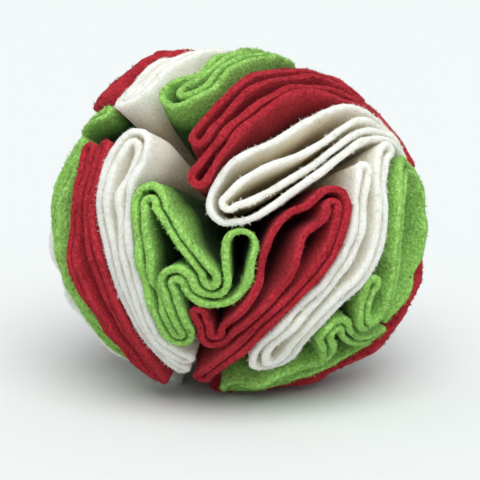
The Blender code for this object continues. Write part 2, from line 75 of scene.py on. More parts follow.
# The course of each doubled sheet over the ball, a row for each section or fold.
# A row is turn, lift, gap, rise: degrees from the front, positive to the right,
# degrees above the equator, extra room between the two layers and how far the
# edge stands proud, both in millimetres.
discs = {
    "green_front": [
        (-6, -7, 1, 0), (-14, 2, 0, 0), (-25, 16, 0, 0), (-33, 22, 1, 0),
        (-32, 12, 0, 0), (-28, -2, 0, 0), (-27, -22, 0, 0), (-24, -33, 0, 0),
        (-20, -22, 0, 0), (-22, -9, 0, 0), (-20, -3, 0, 0), (-13, -11, 0, 0),
        (-5, -13, 0, 0), (1, -8, 3, 0), (1, 6, 7, 0),
    ],
    "red_front": [
        (-19, -53, 0, 1), (-9, -41, 0, 0), (2, -29, 0, 0), (10, -20, 0, 0),
        (17, -12, 0, 0), (24, -5, 0, 0), (29, 2, 0, 0), (32, 9, 0, 0),
        (33, 16, 0, 0), (30, 21, 1, 0), (24, 16, 3, 0), (21, 12, 5, 0),
        (15, 11, 7, 0), (11, 5, 8, 0), (9, -1, 8, 0), (7, -8, 5, 0),
        (4, -15, 2, 0), (-1, -21, 1, 0), (-6, -27, 1, 0), (-11, -32, 1, 0),
        (-14, -26, 0, 0), (-12, -18, 0, 0),
    ],
    "white_left": [
        (-25, -47, 0, 0), (-33, -28, 0, 0), (-37, -9, 0, 0), (-44, 7, 0, 0),
        (-48, 14, 0, 0), (-48, 25, 0, 0), (-48, 35, 1, 0), (-44, 39, 1, 0),
        (-37, 36, 1, 0), (-36, 29, 0, 0), (-38, 19, 0, 0), (-36, 10, 0, 0),
        (-32, -8, 0, 0), (-30, -20, 0, 0), (-22, -41, 0, 0),
    ],
    "red_left": [
        (-61, 30, 1, 0), (-59, 14, 0, 0), (-60, 3, 0, 1), (-56, -11, 0, 1),
        (-52, -25, 0, 1), (-50, -40, 0, 1), (-50, -54, 1, 2), (-39, -51, 0, 2),
        (-39, -38, 0, 0), (-43, -20, 0, 0), (-47, -2, 0, 0), (-52, 11, 0, 0),
        (-54, 24, 0, 0), (-55, 32, 1, 0),
    ],
    "green_left": [
        (-70, 30, 0, 0), (-72, 19, 0, 0), (-73, 5, 0, 0), (-71, -10, 0, 0),
        (-67, -24, 0, 0), (-61, -38, 0, 0), (-56, -52, 0, 0), (-66, -56, 0, 0),
        (-71, -42, 0, 0), (-76, -26, 0, 0), (-80, -10, 0, 0), (-81, 5, 0, 0),
        (-80, 19, 0, 0), (-77, 31, 0, 0),
    ],
    "white_low_left": [
        (-87, 26, 0, 0), (-89, 12, 0, 0), (-89, -3, 0, 1), (-87, -18, 0, 2),
        (-83, -33, 0, 2), (-77, -47, 0, 2), (-64, -63, 0, 0), (-68, -71, 0, 0),
        (-92, -66, 0, 0), (-92, -52, 0, 0), (-95, -36, 0, 0), (-96, -20, 0, 0),
        (-96, -4, 0, 0), (-96, 12, 0, 0),
    ],
    "white_right": [
        (43, 25, 1, 0), (37, 15, 0, 0), (35, 4, 0, 0), (28, -8, 0, 0),
        (18, -16, 0, 0), (9, -29, 0, 0), (6, -38, 1, 0), (11, -43, 2, 0),
        (18, -41, 1, 0), (20, -28, 0, 0), (29, -17, 0, 0), (40, -8, 0, 0),
        (45, 3, 0, 0), (49, 20, 0, 0), (58, 33, 1, 0),
    ],
    "white_top": [
        (88, 33, 0, 0), (75, 38, 0, 0), (64, 43, 1, 0), (53, 46, 4, 0),
        (41, 44, 6, 0), (30, 40, 7, 0), (19, 36, 6, 0), (9, 33, 5, 0),
        (1, 30, 5, 0), (-5, 25, 3, 0), (-8, 17, 1, 0), (-4, 12, 2, 0),
        (1, 14, 3, 0), (8, 18, 2, 0), (15, 22, 1, 0), (23, 27, 0, 0),
        (34, 32, 0, 0), (47, 36, 0, 0), (62, 36, 0, 0), (73, 31, 0, 0),
        (82, 26, 0, 0),
    ],
    "red_top": [
        (-14, 38, 2, 0), (-11, 46, 1, 0), (2, 59, 1, 0), (35, 69, 3, -1),
        (68, 65, 3, -1), (86, 56, 1, 0), (90, 48, 0, 0), (82, 44, 0, 0),
        (70, 49, 1, 0), (56, 54, 1, 0), (30, 58, 0, 0), (7, 50, 0, 0),
        (-5, 38, 0, 0), (-12, 25, 2, 0),
    ],
    "green_top": [
        (148, 52, 0, 0), (143, 60, 0, 0), (131, 73, 0, 0), (80, 82, 0, 0),
        (0, 77, 0, 0), (-12, 69, 0, 0), (-21, 57, 0, 0), (-28, 52, 2, 0),
        (-37, 53, 3, 0), (-42, 59, 2, 0), (-30, 65, 0, 0), (-25, 73, 0, 0),
        (-20, 86, 0, 0), (158, 78, 0, 0), (156, 66, 0, 0), (156, 54, 0, 0),
        (158, 44, 0, 0),
    ],
    "white_top_left": [
        (172, 46, 0, 0), (170, 60, 0, 0), (168, 74, 0, 0), (-120, 83, 0, 1),
        (-69, 73, 0, 2), (-64, 62, 0, 2), (-57, 50, 0, 1), (-66, 47, 0, 0),
        (-76, 56, 0, 0), (-86, 67, 0, 1), (-110, 76, 0, 1), (-160, 75, 0, 0),
        (-173, 64, 0, 0), (-173, 52, 0, 0),
    ],
    "red_top_left": [
        (-164, 42, 0, 0), (-164, 54, 0, 2), (-150, 66, 0, 3), (-122, 70, 0, 5),
        (-104, 63, 0, 4), (-96, 53, 0, 3), (-92, 44, 0, 2), (-101, 45, 0, 1),
        (-109, 54, 0, 1), (-122, 61, 0, 1), (-142, 57, 0, 1), (-152, 48, 0, 0),
        (-154, 38, 0, 0),
    ],
    "green_up_left": [
        (-71, 44, 0, 0), (-76, 37, 0, 0), (-86, 34, 0, 0), (-96, 30, 0, 0),
        (-102, 20, 0, 0), (-104, 6, 0, 0), (-104, -8, 0, 0), (-102, -22, 0, 0),
        (-98, -36, 0, 0), (-104, -44, 0, 0), (-110, -34, 0, 0), (-110, -20, 0, 0),
        (-111, -6, 0, 0), (-111, 8, 0, 0), (-110, 22, 0, 0), (-106, 34, 0, 0),
        (-104, 42, 0, 0),
    ],
    "green_right": [
        (44, -12, 0, 0), (42, -18, 0, 0), (43, -26, 0, 0), (49, -30, 0, 0),
        (54, -24, 0, 0), (55, -12, 0, 0), (54, 0, 0, 0), (56, 12, 0, 0),
        (60, 20, 1, 0), (68, 25, 2, 0), (77, 20, 1, 0), (83, 10, 0, 0),
        (84, -2, 0, 0), (83, -14, 0, 0), (79, -25, 0, 0), (72, -33, 0, 0),
    ],
    "green_low": [
        (70, -40, 0, 0), (60, -38, 0, 0), (48, -36, 0, 0), (38, -29, 0, 0),
        (31, -24, 1, 0), (32, -32, 0, 0), (36, -40, 0, 0), (39, -47, 0, 0),
        (28, -48, 0, 0), (11, -55, 0, 0), (-2, -61, 0, 0), (-8, -66, 0, 0),
        (15, -62, 0, 0), (38, -56, 0, 0), (58, -48, 0, 0), (72, -48, 0, 0),
    ],
    "red_low": [
        (88, -8, 0, 1), (86, -20, 0, 3), (82, -32, 0, 4), (76, -44, 0, 4),
        (64, -55, 0, 3), (44, -64, 0, 2), (15, -71, 0, 0), (-25, -73, 0, 0),
        (-40, -80, 0, 0), (50, -80, 0, 0), (76, -68, 0, 0), (88, -56, 0, 1),
        (92, -43, 0, 1), (94, -29, 0, 1), (95, -15, 0, 0),
    ],
    "white_up_right": [
        (91, 20, 0, 0), (92, 8, 0, 0), (95, -3, 0, 0), (101, -14, 0, 0),
        (101, -28, 0, 0), (100, -42, 0, 0), (98, -56, 0, 0), (100, -68, 0, 0),
        (114, -62, 0, 0), (111, -48, 0, 0), (110, -34, 0, 0), (109, -20, 0, 0),
        (107, -6, 0, 0), (101, 6, 0, 0), (100, 16, 0, 0),
    ],
    "red_up_right": [
        (98, 22, 0, 1), (96, 31, 0, 1), (98, 40, 0, 0), (104, 45, 0, 0),
        (112, 43, 0, 0), (113, 35, 0, 0), (109, 26, 0, 0),
        (110, 14, 0, 0), (116, 0, 0, 0), (117, -14, 0, 0), (118, -28, 0, 0),
        (120, -42, 0, 0), (124, -52, 0, 0),
    ],
    "red_top_right": [
        (155, 40, 0, 0), (147, 41, 0, 0), (142, 47, 0, 0), (137, 55, 0, -1),
        (130, 63, 0, -3), (120, 69, 0, -4), (106, 69, 0, -4), (102, 63, 0, -3),
        (112, 62, 0, -2), (122, 60, 0, -1), (128, 53, 0, 0), (132, 45, 0, 0),
        (128, 41, 0, 0), (122, 45, 0, 0), (119, 51, 0, 0), (112, 56, 0, 0),
        (104, 56, 0, 0), (98, 52, 0, 0),
    ],
    "white_back_right": [
        (124, 34, 0, 0), (122, 24, 0, 0), (122, 12, 0, 0), (124, -2, 0, 0),
        (124, -16, 0, 0), (126, -30, 0, 0), (130, -46, 0, 0), (139, -50, 0, 0),
        (137, -34, 0, 0), (132, -16, 0, 0), (130, 0, 0, 0), (129, 12, 0, 0),
        (130, 24, 0, 0), (133, 35, 0, 0),
    ],
    "green_back_right": [
        (140, 34, 0, 0), (137, 20, 0, 0), (137, 4, 0, 0), (139, -8, 0, 0),
        (143, -14, 0, 0), (145, -4, 0, 0), (145, 10, 0, 0), (147, 24, 0, 0),
        (151, 32, 0, 0), (154, 22, 0, 0), (153, 8, 0, 0), (152, -8, 0, 0),
        (149, -24, 0, 0), (146, -38, 0, 0), (142, -50, 0, 0),
    ],
    "red_back_right": [
        (161, 40, 0, 0), (160, 24, 0, 0), (160, 8, 0, 0), (159, -8, 0, 0),
        (157, -22, 0, 0), (154, -36, 0, 0), (152, -50, 0, 0), (162, -54, 0, 0),
        (165, -42, 0, 0), (166, -28, 0, 0), (167, -12, 0, 0), (167, 4, 0, 0),
        (167, 20, 0, 0), (168, 36, 0, 0),
    ],
    "white_back": [
        (177, 40, 0, 0), (174, 26, 0, 0), (174, 8, 0, 0), (175, -8, 0, 0),
        (174, -24, 0, 0), (172, -40, 0, 0), (177, -52, 0, 0), (184, -46, 0, 0),
        (183, -30, 0, 0), (183, -14, 1, 0), (184, 0, 4, 0), (185, 14, 6, 0),
        (184, 28, 4, 0), (184, 40, 1, 0),
    ],
    "green_back": [
        (192, 38, 0, 0), (192, 24, 0, 0), (192, 8, 0, 0), (190, -8, 0, 0),
        (190, -24, 0, 0), (190, -40, 0, 0), (196, -52, 0, 0), (204, -44, 0, 0),
        (200, -26, 0, 0), (198, -10, 0, 0), (199, 6, 0, 0), (199, 22, 0, 0),
        (200, 36, 0, 0),
    ],
    "red_back_left": [
        (208, 36, 0, 0), (207, 26, 0, 0), (207, 10, 0, 0), (206, -6, 0, 0),
        (207, -22, 0, 0), (210, -36, 0, 0), (213, -50, 0, 0), (223, -50, 0, 0),
        (218, -36, 0, 0), (214, -20, 0, 0), (213, -4, 0, 0), (214, 10, 0, 0),
        (214, 24, 0, 0), (216, 38, 0, 0),
    ],
    "white_back_left": [
        (225, 46, 0, 0), (222, 34, 0, 0), (221, 22, 0, 0), (221, 6, 0, 0),
        (220, -8, 0, 0), (223, -22, 0, 0), (228, -36, 0, 0), (237, -42, 0, 0),
        (235, -30, 0, 0), (230, -14, 0, 0), (228, 0, 0, 0), (228, 14, 0, 0),
        (229, 28, 0, 0), (232, 40, 0, 0), (236, 50, 0, 0),
    ],
    "red_far_left": [
        (244, 50, 0, 0), (240, 40, 0, 0), (236, 26, 0, 0), (234, 12, 0, 0),
        (234, -4, 0, 0), (237, -18, 0, 0), (241, -32, 0, 0), (246, -48, 0, 0),
        (257, -52, 0, 0), (251, -38, 0, 0), (245, -26, 0, 0), (241, -12, 0, 0),
        (241, 2, 0, 0), (242, 16, 0, 0), (246, 30, 0, 0),
    ],
    "green_low_back": [
        (124, -57, 0, 0), (144, -62, 0, 0), (170, -60, 0, 0), (198, -59, 0, 0),
        (225, -57, 0, 0), (245, -61, 0, 0), (250, -69, 0, 0), (225, -66, 0, 0),
        (200, -68, 0, 0), (170, -69, 0, 0), (145, -71, 0, 0), (120, -73, 0, 0),
        (110, -81, 0, 0), (170, -80, 0, 0), (220, -78, 0, 0), (250, -80, 0, 0),
    ],
}

# The cut edges are closed loops on a unit ball, settled until each has its room.
settling = {
    "edgePoints": 180,         # round a cut edge
    "coursePoints": 60,        # along a course
    "rowSteps": 16,            # from one row of a course to the next, before it is spaced evenly
    "capSteps": 8,             # round the half circle at each end
    "shortestCourse": math.radians(120),
    "doubledChord": 0.0062,    # least distance of a course's next but one points, so that it bends gently
    "singleChord": 0.0043,     # the same along a cut edge
    # hold draws each point back to where it started, and stiff straightens the line
    "coursePasses": [
        {"hold": 0.04, "stiff": 0.06, "rounds": 120},
        {"hold": 0.01, "stiff": 0.05, "rounds": 160},
    ],
    "edgePasses": [
        {"hold": 0.03, "stiff": 0.02, "rounds": 60},
        {"hold": 0.005, "stiff": 0.01, "rounds": 100},
        {"hold": 0.0, "stiff": 0.0, "rounds": 60},
    ],
    "overstep": 1.3,           # more than the whole of each push, which settles sooner
    "searchEvery": 8,          # rounds between two searches for neighbours
    "searchMargin": 0.05,      # how much wider than touching they are looked for
    "courseNeighbours": 4,     # points this near along their own line don't push each other
    "edgeNeighbours": 3,
    "shortest": 1e-9,          # keeps two points in one place from dividing by nothing
}


def direction(turn, lift):
    turn, lift = np.radians(turn), np.radians(lift)
    return np.stack([
        np.sin(turn) * np.cos(lift),
        -np.cos(turn) * np.cos(lift),
        np.sin(lift),
    ], axis=-1)


def normalised(vectors):
    return vectors / np.linalg.norm(vectors, axis=-1, keepdims=True)


def spacedEvenly(points, values, count):
    steps = np.linalg.norm(np.diff(points, axis=0), axis=1)
    along = np.concatenate([[0], np.cumsum(steps)])
    wanted = np.linspace(0, along[-1], count)
    columns = np.hstack([points, values])
    return np.stack([np.interp(wanted, along, column) for column in columns.T], axis=1)


# the weights of four neighbouring knots, t of the way from the second to the third
def smoothWeights(t):
    return 0.5 * np.array([
        -t + 2 * t * t - t ** 3,
        2 - 5 * t * t + 3 * t ** 3,
        t + 4 * t * t - 3 * t ** 3,
        -t * t + t ** 3,
    ])


# the doubled sheet's middle line, with its gaps and rises
def course(rows):
    turn, lift, gap, rise = np.array(rows, float).T
    knots = direction(turn, lift)
    extras = np.stack([gap, rise], axis=1) / 1000    # to metres
    first, last = 2 * knots[0] - knots[1], 2 * knots[-1] - knots[-2]
    knots = np.vstack([first, knots, last])
    extras = np.vstack([extras[0], extras, extras[-1]])
    line, values = [], []
    for i in range(1, len(knots) - 2):
        for t in np.linspace(0, 1, settling["rowSteps"], endpoint=False):
            line.append(smoothWeights(t) @ knots[i - 1:i + 3])
            values.append((1 - t) * extras[i] + t * extras[i + 1])
    line.append(knots[-2])
    values.append(extras[-2])
    columns = spacedEvenly(normalised(np.array(line)), np.array(values), settling["coursePoints"])
    return normalised(columns[:, :3]), columns[:, 3], columns[:, 4]


def nearPairs(points, groups, places, closed, reach):
    first, second = np.nonzero(np.triu(points @ points.T > math.cos(reach), 1))
    steps = np.abs(places[first] - places[second])
    least = settling["courseNeighbours"]
    if closed:
        steps = np.minimum(steps, settling["edgePoints"] - steps)
        least = settling["edgeNeighbours"]
    keep = (groups[first] != groups[second]) | (steps >= least)
    return first[keep], second[keep]


def pushApart(points, first, second, least, moves, counts, exact=False):
    offset = points[second] - points[first]
    length = np.linalg.norm(offset, axis=1)
    off = np.ones(len(length), bool) if exact else length < least
    offset, length, target = offset[off], length[off], least[off]
    push = offset * (0.5 * (target - length) / np.maximum(length, settling["shortest"]))[:, None]
    np.add.at(moves, second[off], push)
    np.add.at(moves, first[off], -push)
    np.add.at(counts, second[off], 1)
    np.add.at(counts, first[off], 1)


# every line keeps its length and bends gently, and gives way to its neighbours
def settle(lines, step, halves, tight, closed, hold, stiff, rounds):
    count, length = lines.shape[:2]
    points = lines.reshape(-1, 3).copy()
    start = points.copy()
    groups = np.repeat(np.arange(count), length)
    places = np.tile(np.arange(length), count)
    index = np.arange(count * length).reshape(count, length)
    if closed:
        link = index, np.roll(index, -1, 1)
        skip = index, np.roll(index, -2, 1)
    else:
        link = index[:, :-1], index[:, 1:]
        skip = index[:, :-2], index[:, 2:]
    link = [part.ravel() for part in link]
    skip = [part.ravel() for part in skip]
    linkLength = step[groups[link[0]]]
    skipMiddle = (np.roll(index, -1, 1) if closed else index[:, 1:-1]).ravel()
    skipLeast = tight[skip[0]]
    reach = 2 * halves.max() + settling["searchMargin"]
    for done in range(rounds):
        if done % settling["searchEvery"] == 0:
            pairs = nearPairs(points, groups, places, closed, reach)
            pairLeast = halves[pairs[0]] + halves[pairs[1]]
        moves = np.zeros_like(points)
        counts = np.zeros(len(points))
        pushApart(points, link[0], link[1], linkLength, moves, counts, exact=True)
        pushApart(points, skip[0], skip[1], skipLeast, moves, counts)
        pushApart(points, pairs[0], pairs[1], pairLeast, moves, counts)
        points += settling["overstep"] * moves / np.maximum(counts, 1)[:, None]
        points += hold * (start - points)
        middles = points[skip[0]] + points[skip[1]]
        points[skipMiddle] += stiff * (0.5 * middles - points[skipMiddle])
        points = normalised(points)
    return points.reshape(lines.shape)


# the closed cut edge of a sheet doubled over its middle line
def bothLayers(line, halfGaps, rises):
    ahead = np.gradient(line, axis=0)
    aside = normalised(np.cross(line, ahead))
    left = line + aside * halfGaps[:, None]
    right = line - aside * halfGaps[:, None]
    around = np.linspace(0, math.pi, settling["capSteps"] + 1)[1:-1]
    caps = []
    for end, sense in ((0, -1), (-1, 1)):
        out = sense * normalised(ahead[end])
        caps.append(np.array([
            line[end] + halfGaps[end] * (math.sin(a) * out + sense * math.cos(a) * aside[end])
            for a in around
        ]))
    half = len(around) // 2
    loop = np.vstack([caps[0][half:], left, caps[1], right[::-1], caps[0][:half + 1]])
    height = np.concatenate([
        np.full(len(around) - half, rises[0]), rises, np.full(len(around), rises[-1]),
        rises[::-1], np.full(half + 1, rises[0]),
    ])
    columns = spacedEvenly(loop, height[:, None], settling["edgePoints"] + 1)[:-1]
    return normalised(columns[:, :3]), columns[:, 3]


def settledEdges():
    courses = [course(rows) for rows in discs.values()]
    lines = np.array([line for line, gaps, rises in courses])
    gaps = np.array([gaps for line, gaps, rises in courses]) / radius
    rises = np.array([rises for line, gaps, rises in courses])
    lengths = np.linalg.norm(np.diff(lines, axis=1), axis=2).sum(1)
    lengths = np.clip(lengths, settling["shortestCourse"], math.pi * (1 - pitch / 2))
    step = lengths / (settling["coursePoints"] - 1)
    halves = pitch + gaps.ravel() / 2
    tight = np.full(len(halves), settling["doubledChord"] / radius)
    for passes in settling["coursePasses"]:
        lines = settle(lines, step, halves, tight, False, **passes)

    layered = [bothLayers(*layers) for layers in zip(lines, pitch / 2 + gaps / 2, rises)]
    loops = np.array([loop for loop, height in layered])
    step = np.linalg.norm(loops - np.roll(loops, 1, 1), axis=2).mean(1)
    halves = np.full(loops.size // 3, pitch / 2)
    tight = np.full(len(halves), settling["singleChord"] / radius)
    for passes in settling["edgePasses"]:
        loops = settle(loops, step, halves, tight, True, **passes)
    heights = [height for loop, height in layered]
    return dict(zip(discs, zip(loops, heights)))


# Each fleece disc is made of rings of points, from one side of the sheet over its cut
# edge to the other side. Sizes are in metres.
sheet = {
    "flatWidth": 0.150,        # of every disc laid flat
    "edgePoints": 320,         # round the cut edge
    "edgeWidth": 0.0028,       # the brushed cut edge, a little plumper than the sheet
    "edgePlump": 0.0030,       # how far down from the edge it is plumper
    "edgeRound": 0.0012,       # depth of the edge's rounding
    "roundSteps": 6,
    "wallRadii": [
        0.006, 0.013, 0.021, 0.029, 0.037, 0.044, 0.050, 0.056, 0.061, 0.0655, 0.069, 0.0715,
    ],
    "fill": 0.68,              # share of its room that the sheet fills inside the ball
    "unevenEdge": 0.0028,      # how much the cut edge rises and falls
    "unevenScale": 52,         # and how quickly along it
    "unevenWidth": 0.25,       # how much the thickness swells and thins
    "widthScale": 104,         # and how quickly
    "layerShift": 3.0,         # how unlike the two layers' edges are
    "seedStep": (11.3, 4.7, 2.9),    # how unlike one disc's edge and the next one's are
    "riseFrom": 0.55,          # share of the ball's radius where the edge's rise begins
    "riseOver": 0.45,          # and the share over which it grows
    "risePower": 2,
    "shade": 0.8,              # how much sooner the painted shade darkens a wall where its neighbour shuts it in
}

# how the sheets swell into the free room beside them
slack = {
    "bulge": 0.40,             # share of the room that a sheet swells into
    "fullBulge": 0.56,         # the same for the slackest sheet of all
    "slackest": "red_front",
    "ownBulge": 0.20,          # the same where the room is in a fold of its own
    "bulgeMost": 0.0110,       # the widest room that counts
    "bulgeDepth": 0.017,       # how far under the edge it is fully swollen
    "lookAside": 0.03,         # half width of the strip in which neighbours are looked for
    "lookFrom": 0.4,           # how far to the side they have to be, as a share of the pitch
    "sameSide": 0.8,           # neighbours lie on the same side of the ball, by the cosine of the angle
    "leastOver": 3,            # points to each side over which the least room counts
    "evenOver": 4,             # and over which it is evened out
}

waves = {
    "seed": 28,
    "billow": 0.0011,          # slow waves that all the layers share
    "billowScale": 34,
    "crumple": 0.00045,        # smaller waves that they share
    "crumpleScale": 105,
    "crumpleShift": (7, 3, 5),
    "nibble": 0.00022,         # raggedness of the cut
    "nibbleScale": 620,
}

# Where the ball is out of round, a row each: turn, lift and reach of the spot in
# degrees, and how far the cut edges stand out there in millimetres.
outOfRound = [
    (100, 38, 22, -3.6), (115, 68, 8, -3.2), (-97, 30, 10, -4.0), (-101, 43, 6, 3.5),
    (-109, 57, 5, -4.5), (-114, 63.5, 4, 3.5), (-135, 73, 12, -3.5), (-86, -16, 12, 1.5),
]

noise.seed_set(waves["seed"])    # the same waves on every run


# what the table above adds along a cut edge
def roundness(loop):
    added = np.zeros(len(loop))
    for turn, lift, reach, height in outOfRound:
        angle = np.arccos(np.clip(loop @ direction(turn, lift), -1, 1))
        added += height / 1000 * np.exp(-(angle / math.radians(reach)) ** 2)
    return added


def sideways(loop):
    return normalised(np.cross(loop, np.roll(loop, -1, 0) - np.roll(loop, 1, 0)))


# copies of the values round a closed loop, moved on by up to so many places either way
def rolled(values, reach):
    return [np.roll(values, k) for k in range(-reach, reach + 1)]


# for each point of a cut edge, the open angle beside it, and its swelling into that
def freeRoom(loops, disc, side, openShare):
    loop, count = loops[disc], loops.shape[1]
    points, groups = loops.reshape(-1, 3), np.repeat(np.arange(len(loops)), count)
    steps = np.abs(np.arange(count)[:, None] - np.arange(count)[None])
    steps = np.minimum(steps, count - steps)
    aside = side * sideways(loop)
    ahead = np.cross(aside, loop)
    across = points @ aside.T
    near = (across > slack["lookFrom"] * pitch) & (np.abs(points @ ahead.T) < slack["lookAside"])
    near &= points @ loop.T > slack["sameSide"]
    near[groups == disc] &= steps >= settling["edgeNeighbours"]
    across = np.where(near, across, 1)    # farther than any neighbour
    room = np.clip(across.min(0) - pitch, 0, slack["bulgeMost"] / radius)
    room = np.min(rolled(room, slack["leastOver"]), axis=0)
    room = np.mean(rolled(room, slack["evenOver"]), axis=0)
    own = groups[across.argmin(0)] == disc
    share = np.where(own, slack["ownBulge"], openShare)
    return room, np.mean(rolled(share, slack["evenOver"]), axis=0) * room


# where the points of the finer loop lie along a loop of so many
def finerPlaces(count):
    return np.arange(sheet["edgePoints"]) * count / sheet["edgePoints"]


# a cut edge with more points, and smooth
def finerLoop(loop):
    along = finerPlaces(len(loop))
    base = along.astype(int)
    weights = smoothWeights(along - base).T
    points = sum(weights[:, k:k + 1] * loop[(base + k - 1) % len(loop)] for k in range(4))
    return normalised(points)


# the values round a cut edge, for its finer loop
def finer(values):
    around = np.arange(len(values) + 1)
    return np.interp(finerPlaces(len(values)), around, np.append(values, values[0]))


# radius and half width of each ring, negative on the first side
def sheetProfile():
    def halfAt(r):
        plump = (sheet["edgeWidth"] - ball["thickness"]) * math.exp((r - radius) / sheet["edgePlump"])
        return 0.5 * (sheet["fill"] * pitch * r + plump)

    side = [(r, halfAt(r)) for r in sheet["wallRadii"]]
    edge = []
    for i in range(sheet["roundSteps"] + 1):
        a = math.pi * (i / sheet["roundSteps"] - 0.5)
        r = radius - sheet["edgeRound"] * (1 - math.cos(a))
        edge.append((r, math.sin(a) * sheet["edgeWidth"] / 2))
    return [(r, -half) for r, half in side] + edge + [(r, half) for r, half in reversed(side)]


# the waves that all the layers share, so that none meets its neighbour
def wavy(point):
    slow = noise.noise_vector(point * waves["billowScale"])
    quick = noise.noise_vector(point * waves["crumpleScale"] + Vector(waves["crumpleShift"]))
    return point + slow * waves["billow"] + quick * waves["crumple"]


# one value for each point of a cut edge, unlike on the two layers
def edgeNoise(loop, scale, seed):
    values = []
    for i, edge in enumerate(loop):
        turn = i * 2 * math.pi / len(loop)
        shift = Vector((0, 0, sheet["layerShift"] * math.cos(turn)))
        values.append(noise.noise(Vector(edge * radius * scale) + seed + shift))
    return np.array(values)


def ringPoints(loop, aside, rise, widths, swells, r, half, seed):
    swell = np.clip((radius - r) / slack["bulgeDepth"], 0, 1)
    swell = swell * swell * (3 - 2 * swell)    # eased in and out
    offset = half * widths / r + np.sign(half) * swell * swells[int(half > 0)]
    rays = normalised(loop + aside * offset[:, None]) * r
    share = np.clip((r / radius - sheet["riseFrom"]) / sheet["riseOver"], 0, 1) ** sheet["risePower"]
    floor = ball["footCut"] - ball["height"] / 2
    points = []
    for ray, lift in zip(rays, rise):
        point = Vector(ray)
        nibble = noise.noise(point * waves["nibbleScale"] + seed) * waves["nibble"]
        point *= 1 + share * (lift + nibble) / r
        point.z *= flattening
        point = wavy(point)
        if point.z < floor:    # the ball stands on its flat foot
            point *= floor / point.z
        points.append(point + Vector(middle))
    return points


def discRings(loop, rise, swells, order):
    loop, rise = finerLoop(loop), finer(rise)
    aside = sideways(loop)
    seed = Vector([step * order for step in sheet["seedStep"]])
    rise = rise + roundness(loop) + edgeNoise(loop, sheet["unevenScale"], seed) * sheet["unevenEdge"]
    widths = 1 + edgeNoise(loop, sheet["widthScale"], seed) * sheet["unevenWidth"]
    return [ringPoints(loop, aside, rise, widths, swells, r, half, seed) for r, half in sheetProfile()]


def addObject(name, mesh):
    added = bpy.data.objects.new(name, mesh)
    bpy.context.scene.collection.objects.link(added)
    return added


# A ring of edges is extruded from each ring of points to the next. Each point keeps its
# column and its depth in the ball, which the fleece's colour and its painted shade follow. Where a
# neighbour shuts a wall in, it counts as deeper, so the painted shade darkens it sooner.
def makeDisc(name, rings, rooms):
    profile = sheetProfile()
    # painted shade: walls that a neighbour shuts in count as deeper and take the dark colour sooner
    shut = [1 + sheet["shade"] * (1 - room * radius / slack["bulgeMost"]) for room in rooms]

    bm = bmesh.new()
    column = bm.verts.layers.int.new("column")
    depth = bm.verts.layers.float.new("depth")
    start = [bm.verts.new(point) for point in rings[0]]
    for i, vert in enumerate(start):
        vert[column] = i
        vert[depth] = 1 - profile[0][0] / radius
    firstRing = [bm.edges.new((start[i - 1], start[i])) for i in range(len(start))]
    ring = firstRing
    for points, (r, half) in zip(rings[1:], profile[1:]):
        grown = bmesh.ops.extrude_edge_only(bm, edges=ring)["geom"]
        ring = [item for item in grown if isinstance(item, bmesh.types.BMEdge)]
        for vert in grown:
            if isinstance(vert, bmesh.types.BMVert):
                vert.co = points[vert[column]]
                vert[depth] = (1 - r / radius) * shut[int(half > 0)][vert[column]]
    bmesh.ops.bridge_loops(bm, edges=firstRing + ring)
    bmesh.ops.recalc_face_normals(bm, faces=bm.faces)
    mesh = bpy.data.meshes.new(name + "_disc")
    bm.to_mesh(mesh)
    bm.free()
    mesh.shade_smooth()
    return addObject(name + "_disc", mesh)


# The fluff is loose ends of pile that stand on the cut edges.
fluff = {
    "perDisc": 3900,
    "wallShare": 0.25,         # the rest stand on the rounded edge itself
    "wallRings": 2,            # how many rings down the wall they stand
    "length": (0.0004, 0.0012),
    "width": 0.00021,
    "spread": 0.85,
    "root": 0.0001,            # how deep a hair starts
    "tuftShare": 0.30,         # of the hairs, how many stand in tufts
    "tuftHairs": 6,
    "tuftLength": 1.5,
}


# where the hairs stand on a disc, which way is outwards there, and which are in tufts
def hairRoots(rings, random):
    count, columns = fluff["perDisc"], rings.shape[1]
    firstEdge, lastEdge = len(sheet["wallRadii"]), len(rings) - len(sheet["wallRadii"]) - 1
    along = random.uniform(0, columns, count)
    across = random.uniform(firstEdge, lastEdge, count)
    onWall = random.random(count) < fluff["wallShare"]
    below = random.uniform(firstEdge - fluff["wallRings"], firstEdge, count)
    above = random.uniform(lastEdge, lastEdge + fluff["wallRings"], count)
    across = np.where(onWall, np.where(random.random(count) < 0.5, below, above), across)
    tufts = int(count * fluff["tuftShare"] / fluff["tuftHairs"])
    inTuft = np.arange(count) < tufts * fluff["tuftHairs"]
    owner = np.arange(count) // fluff["tuftHairs"] * fluff["tuftHairs"]
    along, across = np.where(inTuft, along[owner], along), np.where(inTuft, across[owner], across)

    column, ring = along.astype(int), across.astype(int)
    partAlong, partAcross = (along - column)[:, None], (across - ring)[:, None]
    here, there = rings[ring, column % columns], rings[ring, (column + 1) % columns]
    hereNext, thereNext = rings[ring + 1, column % columns], rings[ring + 1, (column + 1) % columns]
    near = (1 - partAlong) * here + partAlong * there
    far = (1 - partAlong) * hereNext + partAlong * thereNext
    root = (1 - partAcross) * near + partAcross * far
    core = (rings[firstEdge - 1, column % columns] + rings[lastEdge + 1, column % columns]) / 2
    out = normalised(np.cross(there - here, hereNext - here))
    out *= np.sign(np.sum(out * (root - core), axis=1))[:, None]
    return root - out * fluff["root"], out, inTuft


# three-sided spikes, four points each
def fluffHairs(rings, random):
    root, out, inTuft = hairRoots(np.array(rings), random)
    lean = normalised(random.normal(size=root.shape))
    way = normalised(out + fluff["spread"] * lean)
    side = normalised(np.cross(way, random.normal(size=root.shape)))
    other = np.cross(way, side)
    length = random.uniform(*fluff["length"], len(root)) * np.where(inTuft, fluff["tuftLength"], 1)
    half = fluff["width"] / 2
    corners = [
        root + half * (math.cos(a) * side + math.sin(a) * other)
        for a in np.radians([0, 120, 240])
    ]
    return np.stack(corners + [root + way * length[:, None]], axis=1)


